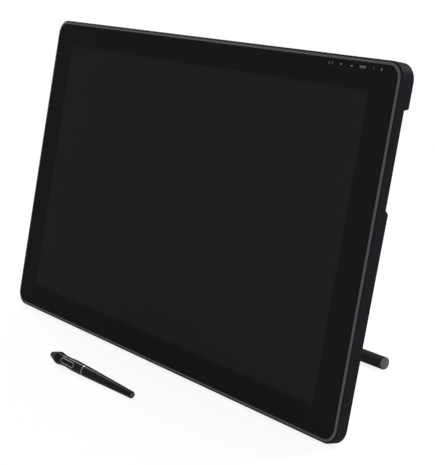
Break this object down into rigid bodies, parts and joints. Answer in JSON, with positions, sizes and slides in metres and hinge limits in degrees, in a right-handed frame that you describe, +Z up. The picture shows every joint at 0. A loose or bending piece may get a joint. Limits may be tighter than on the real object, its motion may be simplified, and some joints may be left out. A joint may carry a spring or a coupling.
{
  "type": "pen display tablet",
  "caption": "Wide flat pen display with a black glass front, leaning on a folding rear stand with a round foot bar, with its stylus lying on the desk in front.",
  "frame": {"origin": "middle of the lower rest edge, on the desk under the middle rubber strip", "axes": "+X to the right along the screen, +Y away from the person who draws, +Z up"},
  "size_m": [0.5538, 0.265, 0.3266],
  "materials": {
    "screen_glass": "etched anti-glare",
    "border_print": "printed black",
    "clear_film": "clear adhesive",
    "tape": "foam tape",
    "trim_metal": "dark anodised satin",
    "panel_glass": "switched off display",
    "white_sheet": "diffuse white",
    "clear_plastic": "clear moulded",
    "led_board": "lamp strip",
    "sheet_steel": "pressed sheet",
    "board_green": "solder mask",
    "ribbon_film": "amber film",
    "housing_black": "fine texture",
    "chip_black": "moulded",
    "bright_steel": "zinc plated",
    "dark_steel": "black oxide",
    "black_rubber": "matte",
    "stand_black": "powder coat",
    "bronze": "sintered",
    "brake_lining": "friction lining",
    "drum_steel": "ground",
    "cap_grey": "moulded grey",
    "pen_black": "soft matte",
    "pen_bright": "satin",
    "pen_key": "satin black",
    "nib_grey": "moulded grey",
    "copper": "wound copper"
  },
  "bodies": {
    "screen": {"cover_glass": "screen_glass", "border_mask": "border_print", "bonding_film": "clear_film", "glass_tape": "tape", "trim_ring": "trim_metal", "lcd_panel": "panel_glass", "diffuser_sheets": "white_sheet", "light_guide": "clear_plastic", "led_strip": "led_board", "backlight_pan": "sheet_steel", "pen_sensor": "board_green", "sensor_shield": "sheet_steel", "touch_key_board": "board_green", "panel_ribbon": "ribbon_film", "sensor_ribbon": "ribbon_film", "key_ribbon": "ribbon_film", "rear_housing": "housing_black", "main_board": "board_green", "board_chips": "chip_black", "board_screws": "bright_steel", "usb_ports": "bright_steel", "video_port": "bright_steel", "pen_controller": "board_green", "mount_plate": "sheet_steel", "frame_screws": "bright_steel", "upper_cover": "housing_black", "lower_cover": "housing_black", "cover_screws": "dark_steel", "rest_feet": "black_rubber", "back_pads": "black_rubber", "stand_bracket": "stand_black", "stand_screws": "dark_steel", "hinge_bushes": "bronze", "lever_pin": "bright_steel", "lever_spring": "bright_steel"},
    "leg": {"hinge_pin": "bright_steel", "pin_clips": "dark_steel", "brake_drum": "drum_steel", "leg_arms": "stand_black", "leg_brace": "stand_black", "arm_screws": "dark_steel", "foot_bar": "stand_black", "bar_sleeves": "black_rubber", "bar_end_caps": "cap_grey"},
    "lever": {"release_lever": "stand_black", "brake_pad": "brake_lining"},
    "stylus": {"pen_grip": "pen_black", "pen_surround": "pen_bright", "pen_coil": "copper", "pen_ferrite": "chip_black", "pen_pressure_cell": "sheet_steel", "pen_circuit": "board_green", "pen_seam_ring": "pen_bright", "pen_barrel": "pen_black", "pen_tail_plug": "cap_grey", "pen_rocker_pin": "bright_steel"},
    "rocker": {"pen_rocker": "pen_key"},
    "nib": {"pen_nib": "nib_grey"}
  },
  "joints": [
    {"name": "leg_fold", "type": "hinge", "parent": "screen", "child": "leg", "pos_m": [0, 0.03426, 0.07747], "axis": [1, 0, 0], "range_deg": [0, 107.4]},
    {"name": "lever_press", "type": "hinge", "parent": "screen", "child": "lever", "pos_m": [0, 0.04538, 0.10577], "axis": [1, 0, 0], "range_deg": [0, 7], "stiffness_Nm_per_rad": 2, "springref_deg": -4.58, "deforming": ["lever_spring"]},
    {"name": "stylus_lift", "type": "slide", "parent": "screen", "child": "stylus", "axis": [0, 0, 1], "range_m": [0, 0.15]},
    {"name": "rocker_tilt", "type": "hinge", "parent": "stylus", "child": "rocker", "pos_m": [-0.03635, -0.0827, 0.00825], "axis": [-0.0087, -0.439, -0.8984], "range_deg": [-2.5, 2.5], "stiffness_Nm_per_rad": 0.2},
    {"name": "nib_press", "type": "slide", "parent": "stylus", "child": "nib", "axis": [0.9989, 0.0384, -0.0284], "range_m": [0, 0.0012], "stiffness_N_per_m": 500, "springref_m": -0.0004}
  ]
}
